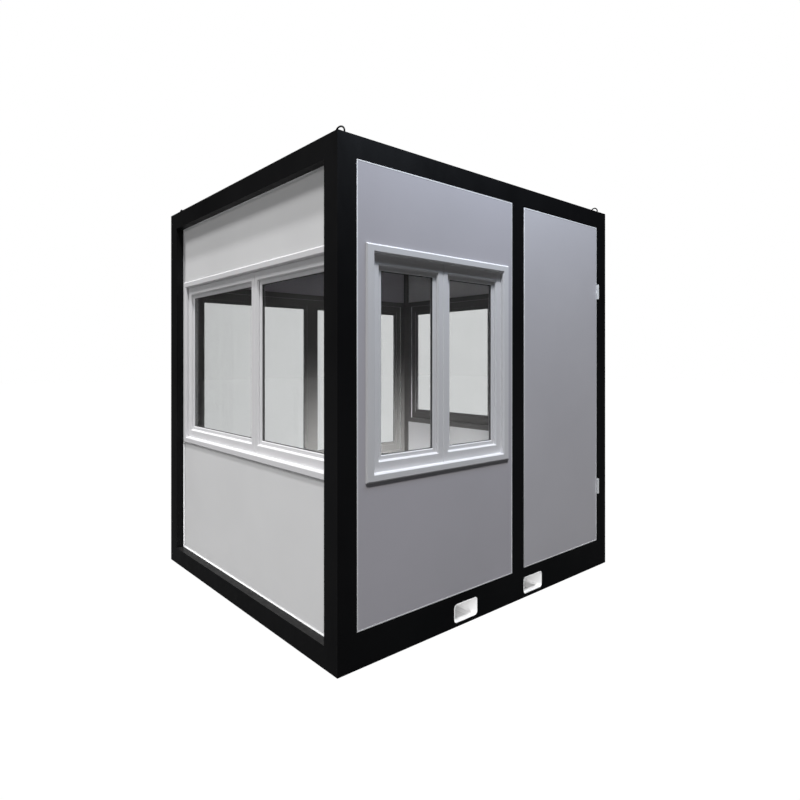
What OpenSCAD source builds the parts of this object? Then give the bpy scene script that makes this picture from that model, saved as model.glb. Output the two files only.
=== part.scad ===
// Security guard booth: a steel box frame with flat wall panels, sliding windows on
// every side, one outward-opening door, fork pockets in the base and four lifting eyes.
// Ground level is z = 0, the door face looks along -Y, and the origin is under the middle.

/* [Overall] */
// Width of the steel frame across the door face
booth_w = 2330; // [1800:10:3000]
// Depth of the steel frame from the door face to the back
booth_d = 2110; // [1600:10:3000]
// Height of the steel frame above the ground
booth_h = 2500; // [2000:10:3100]

/* [Steel frame] */
// Side of the square posts, and the plan width of every beam
post_w = 110; // [90:2:140]
// Height of the four top beams
top_beam_h = 110; // [70:5:160]
// Height of the left and right base beams
side_base_h = 110; // [70:5:150]
// Height of the front and back base beams, which is also the floor level
sill_h = 175; // [175:5:230]
// Clear width of the doorway between its two posts
door_opening_w = 844; // [650:2:1000]

/* [Fork pockets] */
// Clear width of each pocket
pocket_w = 178; // [120:2:220]
// Clear height of each pocket
pocket_h = 93; // [70:1:100]
// Height of the pocket floor above the ground
pocket_z = 26; // [15:1:30]
// Distance between the centres of the two pockets
pocket_pitch = 610; // [400:10:900]
// Wall of the sleeve that lines each pocket
sleeve_t = 4; // [3:0.5:6]
// Inner corner radius of a pocket
pocket_r = 16; // [8:1:30]

/* [Panels] */
// Thickness of the wall panels
wall_t = 50; // [40:1:53]
// How far the left and right wall panels sit behind the frame's outer face
side_recess = 56; // [30:1:56]
// Thickness of the floor panel
floor_t = 45; // [25:1:48]
// Least gap from the floor panel down to a fork sleeve or a side base beam
floor_clear = 6; // [2:1:12]
// Thickness of the roof panel
roof_t = 75; // [40:1:85]
// Depth of the roof panel's top below the frame's top
roof_drop = 18; // [5:1:25]

/* [Windows] */
// Height of the lower outer edge of the front and side window trims
window_z = 863; // [700:1:1100]
// Height of the lower outer edge of the back window trim
back_window_z = 550; // [450:5:1100]
// Height of the wall above every window trim
window_head = 383; // [100:1:500]
// Gap between the front left post and the front window trim
front_window_gap = 51; // [20:1:80]
// Gap between the front window trim and the door post
door_post_gap = 40; // [20:1:80]
// Gap between a post and the trim at each end of the side windows
side_window_gap = 0; // [0:1:80]
// Gap between a post and the trim at each end of the back window
back_window_gap = 0; // [0:1:80]
// Distance of the front window's mullion from the window's middle, towards the door
front_mullion_shift = 2.5; // [-60:0.5:60]
// Distance of a side window's mullion from the window's middle, towards the front
side_mullion_shift = 110; // [-200:1:200]
// Distance of the back window's mullion from the window's middle, towards the right
back_mullion_shift = 0; // [-200:1:200]
// Width of the trims' faces along their head and sill
trim_rail = 42; // [30:1:60]
// Width of the trims' faces along their jambs
trim_jamb = 52; // [30:1:60]
// How far the outer trim stands off the wall
trim_proud = 10; // [6:1:20]
// How far the inner trim stands into the cabin
inner_trim_t = 10; // [5:1:15]
// How far a trim laps over the wall around the cut-out
trim_lap = 16; // [8:1:22]
// Chamfer along the edges of the trims, the frame and the sashes
edge_chamfer = 7; // [1:0.5:8]
// Distance from the trim's outer edge to the window frame's clear opening
frame_in = 97; // [80:1:115]
// Depth of the window frame's face behind the wall's outer face
frame_set = 13; // [5:1:16]
// Width of the mullion between the two lights
mullion_w = 84; // [50:1:100]
// Width and depth of the groove down the middle of the mullion
mullion_groove = 4; // [1:0.5:8]
// Mounting clearance between a window frame and its cut-out
window_fit = 2; // [1:0.5:5]

/* [Sashes] */
// Visible width of a sash inside the window frame
sash_face = 23; // [20:1:45]
// Depth of a sash's face behind the window frame's face
sash_set = 14; // [10:1:16]
// Thickness of a sash
sash_t = 20; // [14:1:24]
// Chamfer along a sash's inner edge
sash_chamfer = 4; // [1:0.5:5]
// Thickness of the glass
glass_t = 5; // [3:0.5:8]
// Depth of the glass edge inside its sash
glass_bite = 8; // [4:1:12]

/* [Door] */
// Thickness of the door leaf
door_t = 44; // [30:1:46]
// Gap above, below and at the latch edge of the leaf
door_gap = 7; // [6:0.5:10]
// Gap at the hinge edge of the leaf
hinge_gap = 8; // [6:0.5:12]
// Gap between the leaf and the stop behind it
stop_gap = 6; // [5:0.5:8]
// Width of the stop bars, measured across the opening
stop_w = 20; // [10:1:35]
// Depth of the stop bars
stop_d = 20; // [10:1:30]

/* [Hinges] */
// Height of a hinge
hinge_h = 101; // [70:1:150]
// Radius of the hinge barrel
hinge_r = 7; // [5:0.5:8]
// Radius of the hinge pin
hinge_pin_r = 3.5; // [2:0.5:4]
// Running clearance around the pin
hinge_pin_fit = 0.1; // [0.05:0.05:0.2]
// Distance of the hinge axis in front of the door face
hinge_out = 9; // [8.5:0.5:10]
// Distance from the top of the leaf to the middle of the upper hinge
upper_hinge_drop = 452; // [150:1:700]
// Distance from the bottom of the leaf to the middle of the lower hinge
lower_hinge_rise = 383; // [150:1:700]
// Thickness of a hinge plate
hinge_plate_t = 1.5; // [1:0.25:2]
// Depth of a hinge plate behind the door face
hinge_plate_d = 34; // [20:1:40]

/* [Inside handle] */
// Height of the inside handle's spindle above the floor
handle_rise = 900; // [700:10:1100]
// Distance of the spindle from the latch edge of the leaf
handle_inset = 62; // [45:1:90]
// Length of the lever
lever_l = 118; // [90:1:150]

/* [Lifting eyes] */
// Outer diameter of an eye
eye_d = 56; // [36:1:80]
// Diameter of the bar that an eye is made of
eye_bar = 8.5; // [6:0.5:14]
// Height of an eye's top above the frame
eye_rise = 47; // [36:1:80]
// Turn of each eye about the vertical: front left, front right, back left, back right
eye_turns = [20, 0, 0, 0];

/* [Hidden] */
$fn = 96;
steel = [0.06, 0.06, 0.07];
sleeve_grey = [0.72, 0.72, 0.72];
panel_grey = [0.72, 0.72, 0.74];
profile_white = [0.9, 0.9, 0.9];
pane_grey = [0.75, 0.8, 0.82, 0.4];
rubber = [0.12, 0.12, 0.12];
zinc_white = [0.88, 0.88, 0.9];

// Inside edges of the corner posts, and the underside of the top beams
inner_w = booth_w - 2 * post_w;
inner_d = booth_d - 2 * post_w;
beam_under = booth_h - top_beam_h;

// Doorway: hinge-side and latch-side faces of its posts
door_right = booth_w - post_w;
door_left = door_right - door_opening_w;
door_post_x = door_left - post_w;
leaf_right = door_right - hinge_gap;
leaf_left = door_left + door_gap;
leaf_bottom = sill_h + door_gap;
leaf_top = beam_under - door_gap;

// Hinge axis, and the middle heights of the two hinges
hinge_x = door_right - hinge_gap / 2;
hinge_y = -hinge_out;
hinge_heights = [leaf_bottom + lower_hinge_rise, leaf_top - upper_hinge_drop];
knuckle_gap = 0.5;
hinge_cap_h = 3;
knuckle_h = (hinge_h - 2 * hinge_cap_h - 2 * knuckle_gap) / 3;

// Windows: where each starts along its own wall, and its outer size
window_top = beam_under - window_head;
window_h = window_top - window_z;
back_window_h = window_top - back_window_z;
front_window_x = post_w + front_window_gap;
front_window_w = door_post_x - door_post_gap - front_window_x;
side_window_y = post_w + side_window_gap;
side_window_w = inner_d - 2 * side_window_gap;
back_window_x = post_w + back_window_gap;
back_window_w = inner_w - 2 * back_window_gap;

// Centre of each window's mullion, from its trim's edge
front_mullion = front_window_w / 2 + front_mullion_shift;
side_mullion = side_window_w / 2 - side_mullion_shift;
back_mullion = back_window_w / 2 + back_mullion_shift;

// Window section: depths behind the wall's face
sash_v = frame_set + sash_set;
pane_v = sash_v + (sash_t - glass_t) / 2;

// Everything is laid out from the front left corner at ground level
module in_place() {
    translate([-booth_w / 2, -booth_d / 2, 0]) children();
}

// Puts a shape made on the front wall onto another wall: across the wall, then inwards
module on_back() {
    translate([0, booth_d, 0]) mirror([0, 1, 0]) children();
}
module on_left() {
    mirror([1, -1, 0]) children();
}
module on_right() {
    translate([booth_w, 0, 0]) mirror([1, 0, 0]) on_left() children();
}

// A box from its low corner to its high corner
module box(low, high) {
    translate(low) cube(high - low);
}

// Steel frame

module corner_post(x, y) {
    color(steel) in_place() translate([x, y, 0]) cube([post_w, post_w, booth_h]);
}

module door_post() {
    color(steel) in_place()
        box([door_post_x, 0, sill_h], [door_left, post_w, beam_under]);
}

module cross_beam(y, z, h) {
    translate([post_w, y, z]) cube([inner_w, post_w, h]);
}

module side_beam(x, z, h) {
    translate([x, post_w, z]) cube([post_w, inner_d, h]);
}

module top_cross_beam(y) {
    color(steel) in_place() cross_beam(y, beam_under, top_beam_h);
}

module top_side_beam(x) {
    color(steel) in_place() side_beam(x, beam_under, top_beam_h);
}

module base_side_beam(x) {
    color(steel) in_place() side_beam(x, 0, side_base_h);
}

// Outline of a pocket, grown by the given amount, with true round corners
module pocket_outline(grow) {
    w = pocket_w + 2 * grow;
    h = pocket_h + 2 * grow;
    r = pocket_r + grow;
    square([w - 2 * r, h], center = true);
    square([w, h - 2 * r], center = true);
    for (x = [-1, 1], z = [-1, 1])
        translate([x * (w / 2 - r), z * (h / 2 - r)]) circle(r);
}

// A bar with the pocket's outline that runs front to back at pocket x
module pocket_bar(x, y0, y1, grow) {
    translate([x, y1, pocket_z + pocket_h / 2])
        rotate([90, 0, 0]) linear_extrude(y1 - y0) pocket_outline(grow);
}

pocket_xs = [booth_w / 2 - pocket_pitch / 2, booth_w / 2 + pocket_pitch / 2];

module base_cross_beam(y) {
    color(steel) in_place() difference() {
        cross_beam(y, 0, sill_h);
        for (x = pocket_xs) pocket_bar(x, y - 1, y + post_w + 1, sleeve_t);
    }
}

module fork_sleeve(x) {
    color(sleeve_grey) in_place() difference() {
        pocket_bar(x, 0, booth_d, sleeve_t);
        pocket_bar(x, -1, booth_d + 1, 0);
    }
}

// Floor, roof and walls

// The floor between the walls, relieved underneath where a sleeve or a side beam comes near
module floor_panel() {
    side = side_recess + wall_t;
    near = post_w + floor_clear;
    color(panel_grey) in_place() difference() {
        box([side, post_w, sill_h - floor_t],
            [booth_w - side, booth_d - post_w, sill_h]);
        for (x = pocket_xs) pocket_bar(x, 0, booth_d, sleeve_t + floor_clear);
        for (x = [0, booth_w - near])
            box([x, 0, 0], [x + near, booth_d, side_base_h + floor_clear]);
    }
}

module roof_panel() {
    top = booth_h - roof_drop;
    color(panel_grey) in_place()
        box([post_w, post_w, top - roof_t],
            [booth_w - post_w, booth_d - post_w, top]);
}

// A wall panel on the front plane, with a cut-out behind its window trim
module wall(x0, x1, z0, y, window_x, window_w, low, h) {
    cut = trim_lap - window_fit;
    difference() {
        box([x0, y, z0], [x1, y + wall_t, beam_under]);
        box([window_x + cut, y - 1, low + cut],
            [window_x + window_w - cut, y + wall_t + 1, low + h - cut]);
    }
}

module front_wall() {
    color(panel_grey) in_place()
        wall(post_w, door_post_x, sill_h, 0, front_window_x, front_window_w,
             window_z, window_h);
}

module back_wall() {
    color(panel_grey) in_place() on_back()
        wall(post_w, post_w + inner_w, sill_h, 0, back_window_x, back_window_w,
             back_window_z, back_window_h);
}

module side_wall() {
    wall(post_w, post_w + inner_d, side_base_h, side_recess,
         side_window_y, side_window_w, window_z, window_h);
}

module left_wall() {
    color(panel_grey) in_place() on_left() side_wall();
}

module right_wall() {
    color(panel_grey) in_place() on_right() side_wall();
}

// Windows, each w wide and h high, with x across, y inwards from the wall's face and z up

// A box whose x and z sides lean out by the given amount between y1 and y0
module flared_box(low, high, lean) {
    reach = abs(lean);
    intersection() {
        translate([0, 0, low[2] - reach]) linear_extrude(high[2] - low[2] + 2 * reach)
            polygon([
                [low[0] - lean, low[1]], [high[0] + lean, low[1]],
                [high[0], high[1]], [low[0], high[1]]
            ]);
        translate([low[0] - reach, 0, 0]) rotate([90, 0, 90])
            linear_extrude(high[0] - low[0] + 2 * reach) polygon([
                [low[1], low[2] - lean], [low[1], high[2] + lean],
                [high[1], high[2]], [high[1], low[2]]
            ]);
    }
}

// What a trim goes round, from depth y0 to y1
module trim_opening(w, h, y0, y1) {
    box([trim_jamb, y0, trim_rail], [w - trim_jamb, y1, h - trim_rail]);
}

// A trim's outer ring: chamfered round its outer and its inner front edges
module outer_trim(w, h) {
    c = min(edge_chamfer, trim_proud - 1);
    difference() {
        union() {
            box([0, -trim_proud + c, 0], [w, 0, h]);
            flared_box([0, -trim_proud, 0], [w, -trim_proud + c, h], -c);
        }
        trim_opening(w, h, -trim_proud - 1, 1);
        flared_box([trim_jamb, -trim_proud, trim_rail],
                   [w - trim_jamb, -trim_proud + c, h - trim_rail], c);
    }
}

module inner_trim(w, h) {
    difference() {
        box([0, wall_t, 0], [w, wall_t + inner_trim_t, h]);
        trim_opening(w, h, wall_t - 1, wall_t + inner_trim_t + 1);
    }
}

module window_trims(w, h = window_h) {
    color(profile_white) {
        outer_trim(w, h);
        inner_trim(w, h);
    }
}

// The clear light between two frame edges, from depth y0 to y1, grown all round
module light(x0, x1, h, y0, y1, grow) {
    box([x0 - grow, y0, frame_in - grow], [x1 + grow, y1, h - frame_in + grow]);
}

// Cuts one light through the frame, with a chamfer along its front edges
module frame_light(x0, x1, h) {
    light(x0, x1, h, frame_set - 1, wall_t + 1, 0);
    flared_box([x0, frame_set, frame_in],
               [x1, frame_set + edge_chamfer, h - frame_in], edge_chamfer);
}

// The ring that fills the cut-out, and the mullion that parts its two lights
module window_frame(w, mullion, h = window_h) {
    left = mullion - mullion_w / 2;
    right = mullion + mullion_w / 2;
    color(profile_white) difference() {
        box([trim_lap, 0, trim_lap], [w - trim_lap, wall_t, h - trim_lap]);
        trim_opening(w, h, -1, frame_set);
        frame_light(frame_in, left, h);
        frame_light(right, w - frame_in, h);
        translate([mullion, frame_set, 0]) rotate([0, 0, 45])
            cube([mullion_groove, mullion_groove, 2 * h], center = true);
    }
}

// The ring that holds the glass in one light
module sash(x0, x1, h) {
    difference() {
        light(x0, x1, h, sash_v, sash_v + sash_t, 0);
        light(x0, x1, h, sash_v - 1, sash_v + sash_t + 1, -sash_face);
        flared_box([x0 + sash_face, sash_v, frame_in + sash_face],
                   [x1 - sash_face, sash_v + sash_chamfer,
                    h - frame_in - sash_face], sash_chamfer);
        pane(x0, x1, h);
    }
}

module pane(x0, x1, h) {
    light(x0, x1, h, pane_v, pane_v + glass_t, glass_bite - sash_face);
}

module sashes(w, mullion, h = window_h) {
    color(profile_white) {
        sash(frame_in, mullion - mullion_w / 2, h);
        sash(mullion + mullion_w / 2, w - frame_in, h);
    }
}

module window_glass(w, mullion, h = window_h) {
    color(pane_grey) {
        pane(frame_in, mullion - mullion_w / 2, h);
        pane(mullion + mullion_w / 2, w - frame_in, h);
    }
}

module at_front_window() {
    in_place() translate([front_window_x, 0, window_z]) children();
}
module at_back_window() {
    in_place() on_back() translate([back_window_x, 0, back_window_z]) children();
}
module at_left_window() {
    in_place() on_left() translate([side_window_y, side_recess, window_z]) children();
}
module at_right_window() {
    in_place() on_right() translate([side_window_y, side_recess, window_z]) children();
}

// Door

module door_leaf() {
    color(panel_grey) in_place()
        box([leaf_left, 0, leaf_bottom], [leaf_right, door_t, leaf_top]);
}

// Three separate bars behind the leaf: latch side, hinge side and head
module door_stop() {
    y0 = door_t + stop_gap;
    y1 = y0 + stop_d;
    joint_gap = 1;
    color(rubber) in_place() {
        box([door_left, y0, sill_h], [door_left + stop_w, y1, beam_under]);
        box([door_right - stop_w, y0, sill_h], [door_right, y1, beam_under]);
        box([door_left + stop_w + joint_gap, y0, beam_under - stop_w],
            [door_right - stop_w - joint_gap, y1, beam_under]);
    }
}

// Hinges: shapes for one hinge, with its axis at x = 0, y = 0 and its foot at z = 0

module knuckle(z, h) {
    translate([0, 0, z]) cylinder(r = hinge_r, h = h);
}

// Part of a plate that reaches out to the barrel between two heights
module plate_neck(x, z, h) {
    translate([x, 0, z]) cube([hinge_plate_t, hinge_out, h]);
}

module plate(x) {
    translate([x, hinge_out, 0]) cube([hinge_plate_t, hinge_plate_d, hinge_h]);
}

// The post's half carries the pin, both outer knuckles and the end caps
module post_hinge_half() {
    x = hinge_gap / 2 - hinge_plate_t;
    low = hinge_cap_h + knuckle_h;
    high = low + knuckle_h + 2 * knuckle_gap;
    cylinder(r = hinge_pin_r, h = hinge_h);
    knuckle(0, low);
    knuckle(high, hinge_h - high);
    plate_neck(x, 0, low);
    plate_neck(x, high, hinge_h - high);
    plate(x);
}

// The leaf's half carries the middle knuckle
module door_hinge_half() {
    x = -hinge_gap / 2;
    z = hinge_cap_h + knuckle_h + knuckle_gap;
    difference() {
        union() {
            knuckle(z, knuckle_h);
            plate_neck(x, z, knuckle_h);
            plate(x);
        }
        translate([0, 0, z - 1])
            cylinder(r = hinge_pin_r + hinge_pin_fit, h = knuckle_h + 2);
    }
}

module at_hinges() {
    in_place() for (z = hinge_heights)
        translate([hinge_x, hinge_y, z - hinge_h / 2]) children();
}

module post_hinge_halves() {
    color(zinc_white) at_hinges() post_hinge_half();
}

module door_hinge_halves() {
    color(zinc_white) at_hinges() door_hinge_half();
}

// Back plate, spindle boss and lever on the cabin side of the leaf
module inside_handle() {
    plate_w = 38;
    plate_h = 190;
    plate_thick = 7;
    boss_r = 10;
    boss_l = 38;
    lever_r = 7.5;
    color(zinc_white) in_place()
        translate([leaf_left + handle_inset, door_t, sill_h + handle_rise]) {
            box([-plate_w / 2, 0, -plate_h * 0.7], [plate_w / 2, plate_thick, plate_h * 0.3]);
            rotate([-90, 0, 0]) cylinder(r = boss_r, h = boss_l);
            translate([0, boss_l - lever_r, 0]) rotate([0, 90, 0])
                cylinder(r = lever_r, h = lever_l);
        }
}

// Lifting eyes

// A ring on a small collar, cut level with the top of the frame
module lifting_eye() {
    collar_r = eye_bar * 1.3;
    collar_h = 6;
    bar_r = eye_bar / 2;
    intersection() {
        union() {
            cylinder(r = collar_r, h = collar_h);
            translate([0, 0, eye_rise - eye_d / 2]) rotate([0, 90, 0])
                rotate_extrude() translate([eye_d / 2 - bar_r, 0]) circle(bar_r);
        }
        translate([-eye_d, -eye_d, 0]) cube([2 * eye_d, 2 * eye_d, 2 * eye_rise]);
    }
}

module lifting_eyes() {
    near = post_w / 2;
    places = [
        [near, near], [booth_w - near, near],
        [near, booth_d - near], [booth_w - near, booth_d - near]
    ];
    color(steel) in_place() for (i = [0 : 3])
        translate([places[i][0], places[i][1], booth_h])
            rotate([0, 0, eye_turns[i]]) lifting_eye();
}

corner_post(0, 0);  // corner_post_front_left
corner_post(booth_w - post_w, 0);  // corner_post_front_right
corner_post(0, booth_d - post_w);  // corner_post_back_left
corner_post(booth_w - post_w, booth_d - post_w);  // corner_post_back_right
door_post();
top_cross_beam(0);  // top_beam_front
top_cross_beam(booth_d - post_w);  // top_beam_back
top_side_beam(0);  // top_beam_left
top_side_beam(booth_w - post_w);  // top_beam_right
base_cross_beam(0);  // base_beam_front
base_cross_beam(booth_d - post_w);  // base_beam_back
base_side_beam(0);  // base_beam_left
base_side_beam(booth_w - post_w);  // base_beam_right
fork_sleeve(pocket_xs[0]);  // fork_sleeve_left
fork_sleeve(pocket_xs[1]);  // fork_sleeve_right
floor_panel();
roof_panel();
front_wall();
back_wall();
left_wall();
right_wall();
at_front_window() window_trims(front_window_w);  // front_window_trims
at_front_window() window_frame(front_window_w, front_mullion);  // front_window_frame
at_front_window() sashes(front_window_w, front_mullion);  // front_window_sashes
at_front_window() window_glass(front_window_w, front_mullion);  // front_window_glass
at_back_window() window_trims(back_window_w, back_window_h);  // back_window_trims
at_back_window() window_frame(back_window_w, back_mullion, back_window_h);  // back_window_frame
at_back_window() sashes(back_window_w, back_mullion, back_window_h);  // back_window_sashes
at_back_window() window_glass(back_window_w, back_mullion, back_window_h);  // back_window_glass
at_left_window() window_trims(side_window_w);  // left_window_trims
at_left_window() window_frame(side_window_w, side_mullion);  // left_window_frame
at_left_window() sashes(side_window_w, side_mullion);  // left_window_sashes
at_left_window() window_glass(side_window_w, side_mullion);  // left_window_glass
at_right_window() window_trims(side_window_w);  // right_window_trims
at_right_window() window_frame(side_window_w, side_mullion);  // right_window_frame
at_right_window() sashes(side_window_w, side_mullion);  // right_window_sashes
at_right_window() window_glass(side_window_w, side_mullion);  // right_window_glass
door_leaf();
door_stop();
post_hinge_halves();
door_hinge_halves();
inside_handle();
lifting_eyes();
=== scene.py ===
"""A security guard booth: black box-section frame, pale coated panels, white windows on four
sides with painted shade in grey on the faces that look into the cabin, a flush door, fork
pockets and lifting eyes. Lengths are in metres."""

import math

import bpy
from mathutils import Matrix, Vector


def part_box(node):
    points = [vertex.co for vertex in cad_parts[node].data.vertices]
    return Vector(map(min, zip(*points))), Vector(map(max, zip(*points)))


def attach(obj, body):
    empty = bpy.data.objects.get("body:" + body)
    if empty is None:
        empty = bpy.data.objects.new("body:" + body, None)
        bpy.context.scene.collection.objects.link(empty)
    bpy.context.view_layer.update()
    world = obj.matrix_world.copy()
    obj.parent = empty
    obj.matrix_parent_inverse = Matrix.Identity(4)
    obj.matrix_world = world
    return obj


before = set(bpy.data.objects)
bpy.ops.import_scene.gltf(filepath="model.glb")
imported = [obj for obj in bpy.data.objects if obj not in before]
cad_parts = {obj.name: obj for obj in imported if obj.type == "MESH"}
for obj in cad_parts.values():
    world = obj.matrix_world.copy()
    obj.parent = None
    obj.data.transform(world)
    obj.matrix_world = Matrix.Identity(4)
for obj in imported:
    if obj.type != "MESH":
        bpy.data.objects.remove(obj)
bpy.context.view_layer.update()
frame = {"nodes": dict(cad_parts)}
nodes = frame["nodes"]

# The view of the photographed corner
CAMERA_PLACE = (-2.6798, -3.2316, 1.4443)
CAMERA_TURN = -41.0
CAMERA_LENS = 26.10
CAMERA_SHIFT = -0.0486

SIDES = ("front", "back", "left", "right")
INWARD = {"front": (1, 1), "back": (1, -1), "left": (0, 1), "right": (0, -1)}
X, Y, Z = Vector((1, 0, 0)), Vector((0, 1, 0)), Vector((0, 0, 1))

# Rounding of the box sections, and the beads that fill what it leaves at the joints
TUBE_ROUND = 0.003
WELD_RADIUS = 0.0032
# Pale bead round the face of each panel, its pale colour a painted highlight along the panel
# edges
EDGE_BEAD_WIDTH = 0.007
EDGE_BEAD_PROUD = 0.0009
# Glazing gasket in the corner between sash and glass, and how far the glass reaches into a sash
GASKET = 0.0035
GLASS_BITE = 0.008
# Sealant beads round the roof sheet and the floor
ROOF_SEALANT = 0.009
FLOOR_SEALANT = 0.006
# The inside handle's plate: its thickness, the middle of its width, how far the screws sit from
# its ends, and how high the key cylinder sits on it
PLATE_THICK = 0.007
PLATE_MIDDLE = 0.019
SCREW_INSET = 0.012
CYLINDER_RISE = 0.062
# Profile strips in the cabin's corners
LINER_THICK = 0.003
LINER_ROUND = 0.0012

# Turned outlines, each point a radius and a height along the axis
SCREW_HEAD = [(0.0, 0.0016), (0.0022, 0.0015), (0.0038, 0.0008), (0.0042, 0.0),
              (0.0042, -0.001)]
KEY_CYLINDER = [(0.0, 0.004), (0.0035, 0.004), (0.0036, 0.003), (0.0085, 0.003),
                (0.0092, 0.0022), (0.0095, 0.0), (0.0095, -0.001)]
EYE_WELD = [(0.0172, 0.0), (0.0160, 0.0012), (0.0132, 0.0022), (0.0116, 0.0045),
            (0.011, 0.0045)]


# Node helpers

def new_material(name):
    material = bpy.data.materials.new(name)
    material.use_nodes = True
    return material, material.node_tree


def shader_of(tree):
    return tree.nodes["Principled BSDF"]


def add(tree, kind, **settings):
    node = tree.nodes.new(kind)
    for key, value in settings.items():
        setattr(node, key, value)
    return node


def place(tree, stretch=(1.0, 1.0, 1.0)):
    """The object's own coordinates in metres, stretched along its axes."""
    coordinates = add(tree, "ShaderNodeTexCoord")
    mapping = add(tree, "ShaderNodeMapping")
    mapping.inputs["Scale"].default_value = stretch
    tree.links.new(coordinates.outputs["Object"], mapping.inputs["Vector"])
    return mapping.outputs["Vector"]


def part_of(tree, output, axis):
    """One axis of the surface's own coordinates (Object) or of its normal (Normal)."""
    coordinates = add(tree, "ShaderNodeTexCoord")
    split = add(tree, "ShaderNodeSeparateXYZ")
    tree.links.new(coordinates.outputs[output], split.inputs["Vector"])
    return split.outputs["XYZ"[axis]]


def noise(tree, vector, scale, detail=2.0, rough=0.5):
    node = add(tree, "ShaderNodeTexNoise")
    node.inputs["Scale"].default_value = scale
    node.inputs["Detail"].default_value = detail
    node.inputs["Roughness"].default_value = rough
    tree.links.new(vector, node.inputs["Vector"])
    return node.outputs["Fac"]


def remap(tree, value, low, high, out_low, out_high):
    node = add(tree, "ShaderNodeMapRange")
    node.inputs["From Min"].default_value = low
    node.inputs["From Max"].default_value = high
    node.inputs["To Min"].default_value = out_low
    node.inputs["To Max"].default_value = out_high
    tree.links.new(value, node.inputs["Value"])
    return node.outputs["Result"]


def mix_colour(tree, factor, first, second):
    """first where factor is 0, second where it is 1. Each is a colour or a socket."""
    node = add(tree, "ShaderNodeMix", data_type="RGBA")
    tree.links.new(factor, node.inputs["Factor"])
    for name, value in (("A", first), ("B", second)):
        socket = [s for s in node.inputs if s.name == name and s.type == "RGBA"][0]
        if isinstance(value, tuple):
            socket.default_value = (*value, 1.0)
        else:
            tree.links.new(value, socket)
    return [s for s in node.outputs if s.type == "RGBA"][0]


def bump(tree, height, strength, distance, under=None):
    node = add(tree, "ShaderNodeBump")
    node.inputs["Strength"].default_value = strength
    node.inputs["Distance"].default_value = distance
    tree.links.new(height, node.inputs["Height"])
    if under is not None:
        tree.links.new(under, node.inputs["Normal"])
    return node.outputs["Normal"]


# Materials

def coated(name, low, high, rough, peel=0.05, specular=0.5, metal=0.0):
    """Factory-coated sheet or profile: cloudy colour, uneven gloss and fine orange peel."""
    material, tree = new_material(name)
    shader = shader_of(tree)
    even = place(tree)
    clouds = remap(tree, noise(tree, even, 1.6, 3.0), 0.3, 0.7, 0.0, 1.0)
    tree.links.new(mix_colour(tree, clouds, low, high), shader.inputs["Base Color"])
    smears = noise(tree, place(tree, (1.0, 1.0, 0.35)), 9.0, 4.0, 0.6)
    gloss = remap(tree, smears, 0.3, 0.7, rough - 0.06, rough + 0.08)
    tree.links.new(gloss, shader.inputs["Roughness"])
    fine = bump(tree, noise(tree, even, 420.0, 2.0), peel, 0.0006)
    tree.links.new(bump(tree, noise(tree, even, 7.0, 1.0), 0.08, 0.004, fine),
                   shader.inputs["Normal"])
    shader.inputs["Specular IOR Level"].default_value = specular
    shader.inputs["Metallic"].default_value = metal
    return material


def recolour(material, factor, colour):
    """Mixes another colour into a coated material where factor is 1."""
    tree = material.node_tree
    base = shader_of(tree).inputs["Base Color"]
    tree.links.new(mix_colour(tree, factor, base.links[0].from_socket, colour), base)


def frame_paint():
    """Black satin paint with a little pale dust on what faces up."""
    material = coated("black_frame_paint", (0.004, 0.004, 0.0045), (0.007, 0.007, 0.0075),
                      0.45, 0.12, 0.12)
    tree = material.node_tree
    up = remap(tree, part_of(tree, "Normal", 2), 0.6, 1.0, 0.0, 1.0)
    speckle = remap(tree, noise(tree, place(tree), 45.0, 8.0, 0.7), 0.4, 0.8, 0.0, 0.7)
    dust = add(tree, "ShaderNodeMath", operation="MULTIPLY")
    tree.links.new(up, dust.inputs[0])
    tree.links.new(speckle, dust.inputs[1])
    recolour(material, dust.outputs["Value"], (0.035, 0.034, 0.032))
    return material


def profile_shaded_inside(side):
    """White profile with painted shade: warm grey on the faces that look into the cabin stands
    in for the dark inside of the cabin.
    """
    axis, sign = INWARD[side]
    material = coated(f"profile_{side}", (0.75, 0.745, 0.76), (0.79, 0.785, 0.80), 0.38, 0.03)
    tree = material.node_tree
    inner = remap(tree, part_of(tree, "Normal", axis), 0.55 * sign, 0.75 * sign, 0.0, 1.0)
    # Painted shade: faces turned into the cabin are darkened to warm grey.
    recolour(material, inner, (0.17, 0.165, 0.16))
    return material


def floor_vinyl():
    """Speckled grey vinyl with a fine pressed grain."""
    material = coated("floor_vinyl", (0.5, 0.5, 0.5), (0.56, 0.56, 0.555), 0.42, 0.2)
    tree = material.node_tree
    chips = remap(tree, noise(tree, place(tree), 160.0, 3.0, 0.7), 0.58, 0.66, 0.0, 0.6)
    recolour(material, chips, (0.32, 0.33, 0.34))
    return material


def sleeve_steel():
    """Pale coated steel, scuffed lengthwise low down where the forks slide."""
    material = coated("sleeve_steel", (0.74, 0.74, 0.74), (0.8, 0.8, 0.8), 0.4)
    tree = material.node_tree
    streaks = noise(tree, place(tree, (1.0, 0.03, 1.0)), 220.0, 3.0, 0.6)
    low = remap(tree, part_of(tree, "Object", 2), 0.03, 0.05, 1.0, 0.0)
    worn = add(tree, "ShaderNodeMath", operation="MULTIPLY")
    tree.links.new(remap(tree, streaks, 0.5, 0.7, 0.0, 0.6), worn.inputs[0])
    tree.links.new(low, worn.inputs[1])
    recolour(material, worn.outputs["Value"], (0.38, 0.37, 0.36))
    return material


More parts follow.
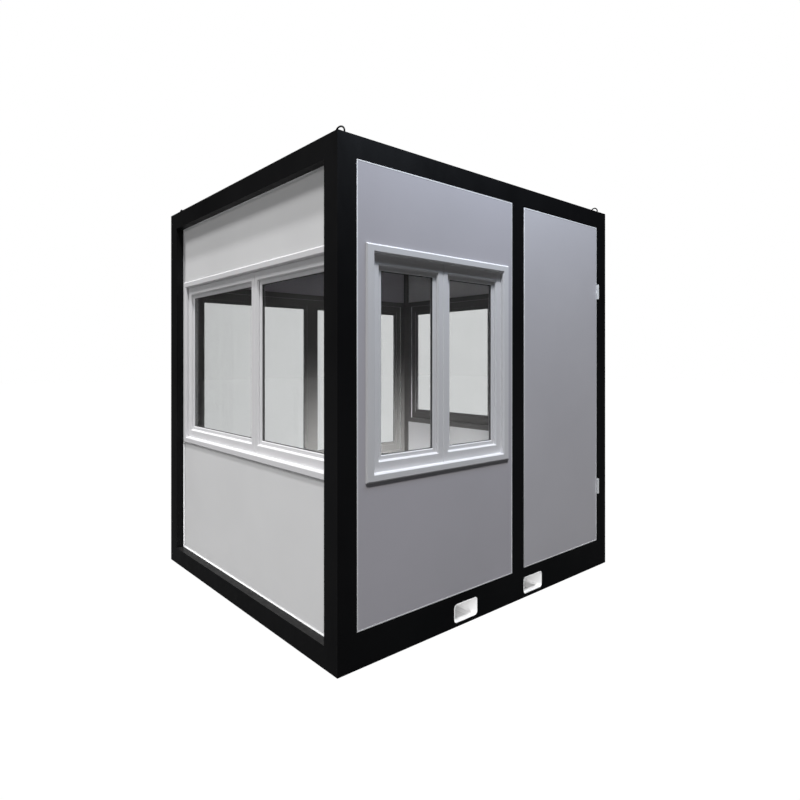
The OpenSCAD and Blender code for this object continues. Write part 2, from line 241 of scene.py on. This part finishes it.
def window_pane():
    """Clear float glass with a faint film: most of the light goes straight through."""
    material, tree = new_material("pane_glass")
    tree.nodes.remove(shader_of(tree))
    clear = add(tree, "ShaderNodeBsdfTransparent")
    clear.inputs["Color"].default_value = (0.91, 0.915, 0.915, 1.0)
    film = add(tree, "ShaderNodeBsdfDiffuse")
    film.inputs["Color"].default_value = (0.6, 0.6, 0.6, 1.0)
    dusty = add(tree, "ShaderNodeMixShader")
    haze = remap(tree, noise(tree, place(tree), 3.0, 5.0, 0.6), 0.35, 0.8, 0.0, 0.02)
    tree.links.new(haze, dusty.inputs["Fac"])
    tree.links.new(clear.outputs["BSDF"], dusty.inputs[1])
    tree.links.new(film.outputs["BSDF"], dusty.inputs[2])
    mirror = add(tree, "ShaderNodeBsdfGlossy")
    mirror.inputs["Roughness"].default_value = 0.02
    facing = add(tree, "ShaderNodeLayerWeight")
    facing.inputs["Blend"].default_value = 0.5
    steep = add(tree, "ShaderNodeMath", operation="POWER")
    steep.inputs[1].default_value = 5.0
    tree.links.new(facing.outputs["Facing"], steep.inputs[0])
    pane = add(tree, "ShaderNodeMixShader")
    share = remap(tree, steep.outputs["Value"], 0.0, 1.0, 0.035, 1.0)
    tree.links.new(share, pane.inputs["Fac"])
    tree.links.new(dusty.outputs["Shader"], pane.inputs[1])
    tree.links.new(mirror.outputs["BSDF"], pane.inputs[2])
    output = tree.nodes["Material Output"]
    tree.links.new(pane.outputs["Shader"], output.inputs["Surface"])
    return material


def make_materials():
    made = {
        "steel": frame_paint(),
        "grey": coated("lilac_grey_panel", (0.54, 0.525, 0.56), (0.57, 0.55, 0.59), 0.5),
        "eye": coated("eye_steel", (0.004, 0.004, 0.004), (0.007, 0.007, 0.007), 0.45,
                      specular=0.2),
        "door": coated("door_panel", (0.59, 0.575, 0.605), (0.62, 0.605, 0.635), 0.5),
        "white": coated("white_panel", (0.77, 0.77, 0.775), (0.81, 0.81, 0.815), 0.5),
        "sleeve": sleeve_steel(),
        "vinyl": floor_vinyl(),
        "roof": coated("roof_sheet", (0.36, 0.36, 0.37), (0.41, 0.41, 0.42), 0.5),
        "seal": coated("seal_rubber", (0.02, 0.02, 0.02), (0.035, 0.035, 0.035), 0.6, 0.2),
        "gasket": coated("gasket_rubber", (0.05, 0.05, 0.05), (0.07, 0.07, 0.07), 0.6, 0.1),
        # Painted highlight: the pale edge bead's colour stands in for the bright line along the
        # panel edges.
        "film": coated("edge_bead_painted_highlight", (0.88, 0.88, 0.89), (0.92, 0.92, 0.93), 0.4, 0.03),
        "sealant": coated("grey_sealant", (0.3, 0.3, 0.3), (0.36, 0.36, 0.35), 0.5, 0.1),
        "enamel": coated("hinge_enamel", (0.8, 0.8, 0.8), (0.86, 0.86, 0.86), 0.35),
        "satin": coated("handle_satin", (0.6, 0.6, 0.6), (0.66, 0.66, 0.66), 0.3, metal=1.0),
        "glass": window_pane(),
        # Corner liners: their dark grey is painted shade of the cabin's corners.
        "liner": coated("liner_painted_shade", (0.16, 0.155, 0.15), (0.18, 0.175, 0.17), 0.4, 0.03),
    }
    for side in SIDES:
        made[side] = profile_shaded_inside(side)
    return made


def paint(node, material):
    mesh = nodes[node].data
    mesh.materials.clear()
    mesh.materials.append(material)


def is_tube(name):
    return name.startswith(("corner_post", "top_beam", "base_beam")) or name == "door_post"


def paint_nodes(made):
    for name in filter(is_tube, nodes):
        paint(name, made["steel"])
    for side in SIDES:
        for part in ("trims", "frame", "sashes"):
            paint(f"{side}_window_{part}", made[side])
        paint(f"{side}_window_glass", made["glass"])
    finishes = {
        "grey": ("front_wall", "back_wall"),
        "door": ("door_leaf",),
        "white": ("left_wall", "right_wall"),
        "sleeve": ("fork_sleeve_left", "fork_sleeve_right"),
        "vinyl": ("floor_panel",),
        "roof": ("roof_panel",),
        "seal": ("door_stop",),
        "enamel": ("post_hinge_halves", "door_hinge_halves"),
        "satin": ("inside_handle",),
        "eye": ("lifting_eyes",),
    }
    for finish, names in finishes.items():
        for name in names:
            paint(name, made[finish])


# Mesh helpers

def build(name, vertices, faces, material, body, slot, smooth=True):
    mesh = bpy.data.meshes.new(name)
    mesh.from_pydata([tuple(v) for v in vertices], [], faces)
    mesh.update()
    mesh.materials.append(material)
    if smooth:
        mesh.polygons.foreach_set("use_smooth", [True] * len(mesh.polygons))
    piece = bpy.data.objects.new(name, mesh)
    bpy.context.scene.collection.objects.link(piece)
    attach(piece, body)
    return piece


def mitred_loop(corners, normal, section):
    """Sweeps section round a closed flat outline, mitred at its corners. Each section point
    is (distance inwards, height along normal). Returns vertices and faces."""
    count, vertices, faces = len(corners), [], []
    middle = sum(corners, Vector()) / count
    for i, corner in enumerate(corners):
        back = (corner - corners[i - 1]).normalized()
        ahead = (corners[(i + 1) % count] - corner).normalized()
        sides = [d.cross(normal).normalized() for d in (back, ahead)]
        sides = [s if s.dot(middle - corner) > 0 else -s for s in sides]
        inward = (sides[0] + sides[1]) / (1 + sides[0].dot(sides[1]))
        vertices += [corner + inward * a + normal * b for a, b in section]
    width = len(section)
    for i in range(count):
        for j in range(width):
            near, far = i * width, ((i + 1) % count) * width
            k = (j + 1) % width
            faces.append((near + j, near + k, far + k, far + j))
    return vertices, faces


def join(parts):
    """Several (vertices, faces) pairs as one."""
    vertices, faces = [], []
    for some_vertices, some_faces in parts:
        start = len(vertices)
        vertices += some_vertices
        faces += [tuple(start + i for i in face) for face in some_faces]
    return vertices, faces


def half_round(width, height, steps=6):
    """A flat-backed rounded section: width inwards from the outline, height proud."""
    arc = [math.pi * i / steps for i in range(steps + 1)]
    return [(width / 2 - width / 2 * math.cos(t), height * math.sin(t)) for t in arc]


def fillet(size, steps=5):
    """A hollow bead in the corner between a wall at inward distance 0 and a face at height 0."""
    arc = [math.pi / 2 * i / steps for i in range(steps + 1)]
    curve = [(size - size * math.sin(t), size - size * math.cos(t)) for t in arc]
    return [(0.0, 0.0)] + curve


def disc_section(radius, steps=10):
    turn = [2 * math.pi * i / steps for i in range(steps)]
    return [(radius * math.cos(t), radius * math.sin(t)) for t in turn]


def rectangle(low, high, axis, at):
    """The four corners of a box's section across an axis, at one place along it."""
    a, b = [i for i in range(3) if i != axis]
    corners = []
    for u, v in ((low[a], low[b]), (high[a], low[b]), (high[a], high[b]), (low[a], high[b])):
        corner = Vector((0, 0, 0))
        corner[a], corner[b], corner[axis] = u, v, at
        corners.append(corner)
    return corners


def prism(outline, bottom, top):
    """An upright bar with a plan outline, closed at both ends."""
    count = len(outline)
    vertices = [Vector((x, y, z)) for z in (bottom, top) for x, y in outline]
    faces = [(i, (i + 1) % count, count + (i + 1) % count, count + i) for i in range(count)]
    faces += [tuple(range(count))[::-1], tuple(range(count, 2 * count))]
    return vertices, faces


def lathe(centre, axis, outline, steps=24):
    """Turns outline, a list of (radius, height along axis), round a centre."""
    side = axis.orthogonal().normalized()
    other = axis.cross(side)
    vertices, faces = [], []
    for i in range(steps):
        turn = 2 * math.pi * i / steps
        out = side * math.cos(turn) + other * math.sin(turn)
        vertices += [centre + out * r + axis * h for r, h in outline]
    width = len(outline)
    for i in range(steps):
        near, far = i * width, ((i + 1) % steps) * width
        faces += [(near + j, far + j, far + j + 1, near + j + 1) for j in range(width - 1)]
    return vertices, faces


def soften(name, width, segments=3):
    """Rounds a CAD node's hard edges."""
    modifier = nodes[name].modifiers.new("rounding", "BEVEL")
    modifier.width = width
    modifier.segments = segments
    modifier.limit_method = "ANGLE"
    modifier.angle_limit = math.radians(40)


# Added detail

def round_tubes():
    for name in filter(is_tube, nodes):
        soften(name, TUBE_ROUND)
    soften("door_leaf", 0.0015, 2)
    soften("inside_handle", 0.0012, 2)


def joint_loops():
    """Outlines of every beam end and of the door post's two ends, with their axis."""
    for name in filter(is_tube, nodes):
        if name.startswith("corner_post"):
            continue
        low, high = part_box(name)
        axis = max(range(3), key=lambda i: high[i] - low[i])
        for at in (low[axis], high[axis]):
            inset = Vector((1, 1, 1)) * WELD_RADIUS
            yield rectangle(low + inset, high - inset, axis, at), (X, Y, Z)[axis]


def add_welds(made):
    """Ground weld beads that fill the rounded joints of the frame."""
    parts = [mitred_loop(corners, axis, disc_section(WELD_RADIUS))
             for corners, axis in joint_loops()]
    vertices, faces = join(parts)
    build("frame_weld_beads", vertices, faces, made["steel"], "booth", "frame_paint")


def wall_face(name):
    """A wall's outer face: its axis, the face's place on it, and which way is outwards."""
    low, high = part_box(name)
    axis = min(range(3), key=lambda i: high[i] - low[i])
    out = -1 if low[axis] + high[axis] < 0 else 1
    return low, high, axis, (low, high)[out > 0][axis], out


def add_edge_highlight_beads(made):
    """A pale bead round each panel's outer face, its pale colour a painted highlight along the
    panel edges; round a sunk panel the bead fills the corner.
    """
    for name in ("front_wall", "back_wall", "left_wall", "right_wall", "door_leaf"):
        low, high, axis, at, out = wall_face(name)
        normal = (X, Y, Z)[axis] * out
        corners = rectangle(low, high, axis, at)
        flush = name in ("front_wall", "back_wall", "door_leaf")
        section = half_round(EDGE_BEAD_WIDTH, EDGE_BEAD_PROUD) if flush else fillet(EDGE_BEAD_WIDTH)
        vertices, faces = mitred_loop(corners, normal, section)
        body = "door" if name == "door_leaf" else "booth"
        # The bead's pale colour is a painted highlight along the panel edge.
        slot = "door_panel" if name == "door_leaf" else "wall_panel"
        build(name + "_edge_bead_painted_highlight", vertices, faces, made["film"], body, slot)


def panes_of(side):
    """The lowest and highest corners of a window's two panes."""
    mesh = nodes[f"{side}_window_glass"].data
    across = 1 - INWARD[side][0]
    low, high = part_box(f"{side}_window_glass")
    spread = sorted({round(v.co[across], 4) for v in mesh.vertices})
    edges = [spread[0], spread[1], spread[-2], spread[-1]]
    for start, end in ((edges[0], edges[1]), (edges[2], edges[3])):
        first, last = low.copy(), high.copy()
        first[across], last[across] = start, end
        yield first, last


def add_gaskets(made):
    """Black glazing gaskets on both faces of each pane, against the sash."""
    for side in SIDES:
        axis = INWARD[side][0]
        parts = []
        for low, high in panes_of(side):
            inset = Vector((1, 1, 1)) * GLASS_BITE
            for at, out in ((low[axis], -1), (high[axis], 1)):
                corners = rectangle(low + inset, high - inset, axis, at)
                parts.append(mitred_loop(corners, (X, Y, Z)[axis] * out, fillet(GASKET)))
        vertices, faces = join(parts)
        build(f"{side}_window_gaskets", vertices, faces, made["gasket"], "booth", "door_seal")


def add_sealant(made):
    """Sealant where the roof sheet meets the frame, and where the walls meet the floor."""
    low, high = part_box("roof_panel")
    roof = mitred_loop(rectangle(low, high, 2, high.z), Z, fillet(ROOF_SEALANT))
    build("roof_sealant", *roof, made["sealant"], "booth", "roof_sheet")
    low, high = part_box("floor_panel")
    inner = [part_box(f"{side}_wall") for side in SIDES]
    low = Vector((low.x, inner[0][1].y, high.z))
    high = Vector((high.x, inner[1][0].y, high.z))
    floor = mitred_loop(rectangle(low, high, 2, high.z), Z, fillet(FLOOR_SEALANT))
    build("floor_sealant", *floor, made["sealant"], "booth", "floor_sheet")


def add_screws(made):
    """Countersunk screws and a key cylinder on the inside handle's plate."""
    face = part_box("door_leaf")[1].y + PLATE_THICK
    low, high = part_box("inside_handle")
    across = low.x + PLATE_MIDDLE
    parts = [lathe(Vector((across, face, z)), Y, SCREW_HEAD)
             for z in (low.z + SCREW_INSET, high.z - SCREW_INSET)]
    cylinder = Vector((across, face, low.z + CYLINDER_RISE))
    parts.append(lathe(cylinder, Y, KEY_CYLINDER, 32))
    vertices, faces = join(parts)
    build("handle_screws", vertices, faces, made["satin"], "door", "handle_metal")


def add_corner_liners(made):
    """Profile strips that cover the steel posts' faces in the cabin's corners. Their dark grey
    is painted shade, like the profiles' faces that look into the cabin.
    """
    bottom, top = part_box("floor_panel")[1].z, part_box("top_beam_front")[0].z
    parts = []
    for across in (-1, 1):
        for along in (-1, 1):
            end = "front" if along < 0 else "back"
            side = "left" if across < 0 else "right"
            low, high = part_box(f"corner_post_{end}_{side}")
            face = low.x if across > 0 else high.x
            near = low.y if along > 0 else high.y
            trim_low, trim_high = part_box(f"{end}_window_trims")
            far = trim_low.y if along > 0 else trim_high.y
            inside = face - across * LINER_THICK
            outline = [(face, near), (inside + across * LINER_ROUND, near),
                       (inside, near + along * LINER_ROUND), (inside, far), (face, far)]
            parts.append(prism(outline, bottom, top))
    vertices, faces = join(parts)
    build("inner_corner_liners", vertices, faces, made["liner"], "booth", "window_profile",
          smooth=False)


def add_eye_welds(made):
    """A weld fillet round the foot of each lifting eye."""
    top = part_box("corner_post_front_left")[1].z
    posts = [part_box(f"corner_post_{end}_{side}")
             for end in ("front", "back") for side in ("left", "right")]
    parts = []
    for low, high in posts:
        centre = Vector(((low.x + high.x) / 2, (low.y + high.y) / 2, top))
        parts.append(lathe(centre, Z, EYE_WELD, 32))
    vertices, faces = join(parts)
    build("lifting_eye_welds", vertices, faces, made["eye"], "booth", "eye_steel")


# Camera, light and floor

def add_camera():
    data = bpy.data.cameras.new("camera")
    data.sensor_width = 36.0
    data.lens = CAMERA_LENS
    data.shift_y = CAMERA_SHIFT
    camera = bpy.data.objects.new("camera", data)
    camera.location = CAMERA_PLACE
    camera.rotation_euler = (math.radians(90.0), 0.0, math.radians(CAMERA_TURN))
    bpy.context.scene.collection.objects.link(camera)
    bpy.context.scene.camera = camera


def hang(name, data, position, towards):
    """A lamp whose light goes along towards. The camera doesn't see the lamp itself."""
    lamp = bpy.data.objects.new(name, data)
    lamp.location = position
    lamp.rotation_mode = "QUATERNION"
    lamp.rotation_quaternion = (-Vector(towards)).to_track_quat("Z", "Y")
    lamp.visible_camera = False
    bpy.context.scene.collection.objects.link(lamp)
    return lamp


def add_sun(name, direction, strength, angle):
    data = bpy.data.lights.new(name, "SUN")
    data.energy = strength
    data.angle = math.radians(angle)
    hang(name, data, (0, 0, 5), -Vector(direction))


def add_softbox(name, position, target, size, power, colour=(1, 1, 1), spread=180.0,
                mirrored=True):
    """A rectangular lamp. One that isn't mirrored doesn't show in reflections."""
    data = bpy.data.lights.new(name, "AREA")
    data.shape = "RECTANGLE"
    data.size, data.size_y = size
    data.energy = power
    data.color = colour
    data.spread = math.radians(spread)
    lamp = hang(name, data, position, Vector(target) - Vector(position))
    lamp.visible_glossy = mirrored


def light_sleeves():
    """A lamp in front of the booth that lights the two fork sleeves and nothing else."""
    only = bpy.data.collections.new("lit_sleeves")
    for name in ("fork_sleeve_left", "fork_sleeve_right"):
        only.objects.link(nodes[name])
    data = bpy.data.lights.new("sleeve_light", "AREA")
    data.size = 2.0
    data.energy = 130.0
    lamp = hang("sleeve_light", data, (-2.2, -3.2, 1.0), (1.9, 2.2, -0.93))
    lamp.light_linking.receiver_collection = only


def add_world():
    """White to the camera, and nearly dark as a light, so that the lamps do the lighting."""
    world = bpy.data.worlds.new("studio")
    world.use_nodes = True
    tree = world.node_tree
    dim = tree.nodes["Background"]
    dim.inputs["Color"].default_value = (1.0, 1.0, 1.0, 1.0)
    dim.inputs["Strength"].default_value = 0.025
    backdrop = add(tree, "ShaderNodeBackground")
    backdrop.inputs["Color"].default_value = (1.0, 1.0, 1.0, 1.0)
    backdrop.inputs["Strength"].default_value = 1.0
    path = add(tree, "ShaderNodeLightPath")
    mix = add(tree, "ShaderNodeMixShader")
    tree.links.new(path.outputs["Is Camera Ray"], mix.inputs["Fac"])
    tree.links.new(dim.outputs["Background"], mix.inputs[1])
    tree.links.new(backdrop.outputs["Background"], mix.inputs[2])
    tree.links.new(mix.outputs["Shader"], tree.nodes["World Output"].inputs["Surface"])
    bpy.context.scene.world = world


def add_floor():
    """A studio floor that the camera sees as nearly white, with hardly any shadow on it."""
    reach = 40.0
    corners = [(-reach, -reach, 0), (reach, -reach, 0), (reach, reach, 0), (-reach, reach, 0)]
    mesh = bpy.data.meshes.new("studio_floor")
    mesh.from_pydata(corners, [], [(0, 1, 2, 3)])
    floor = bpy.data.objects.new("studio_floor", mesh)
    bpy.context.scene.collection.objects.link(floor)
    material, tree = new_material("studio_floor")
    shader = shader_of(tree)
    shader.inputs["Base Color"].default_value = (0.05, 0.05, 0.05, 1.0)
    shader.inputs["Roughness"].default_value = 0.9
    glow = add(tree, "ShaderNodeEmission")
    glow.inputs["Strength"].default_value = 1.11
    path = add(tree, "ShaderNodeLightPath")
    mix = add(tree, "ShaderNodeMixShader")
    share = remap(tree, path.outputs["Is Camera Ray"], 0.0, 1.0, 0.0, 0.9)
    tree.links.new(share, mix.inputs["Fac"])
    tree.links.new(shader.outputs["BSDF"], mix.inputs[1])
    tree.links.new(glow.outputs["Emission"], mix.inputs[2])
    tree.links.new(mix.outputs["Shader"], tree.nodes["Material Output"].inputs["Surface"])
    mesh.materials.append(material)


def add_light():
    bpy.context.scene.view_settings.view_transform = "Standard"
    add_world()
    add_sun("key_sun", (-0.24, -0.357, 1.0), 2.7, 4.0)
    add_sun("left_sun", (-0.55, 0.2, 1.0), 1.8, 12.0)
    add_softbox("left_softbox", (-8.0, 0.9, 3.4), (-1.1, 0.0, 1.2), (3.0, 3.0), 105.0)
    add_softbox("top_front_softbox", (0.0, -1.8, 4.0), (0.0, -1.05, 2.0), (2.5, 0.5), 54.0,
                colour=(0.75, 0.85, 1.0))
    add_softbox("right_back_softbox", (5.0, 4.5, 3.0), (0.8, 0.8, 1.2), (3.0, 3.0), 230.0)
    # Two lamps inside the cabin, low behind the front and left walls, hidden from the camera
    add_softbox("cabin_light_front", (0.4, -0.93, 0.55), (0.45, 1.0, 0.42), (1.4, 0.3), 17.0,
                spread=60.0, mirrored=False)
    add_softbox("cabin_light_left", (-1.0, 0.1, 0.6), (1.0, 0.3, 0.5), (1.5, 0.3), 0.6,
                spread=60.0, mirrored=False)
    light_sleeves()


made = make_materials()
paint_nodes(made)
round_tubes()
add_welds(made)
add_edge_highlight_beads(made)
add_gaskets(made)
add_sealant(made)
add_screws(made)
add_eye_welds(made)
add_corner_liners(made)
add_camera()
add_light()
add_floor()
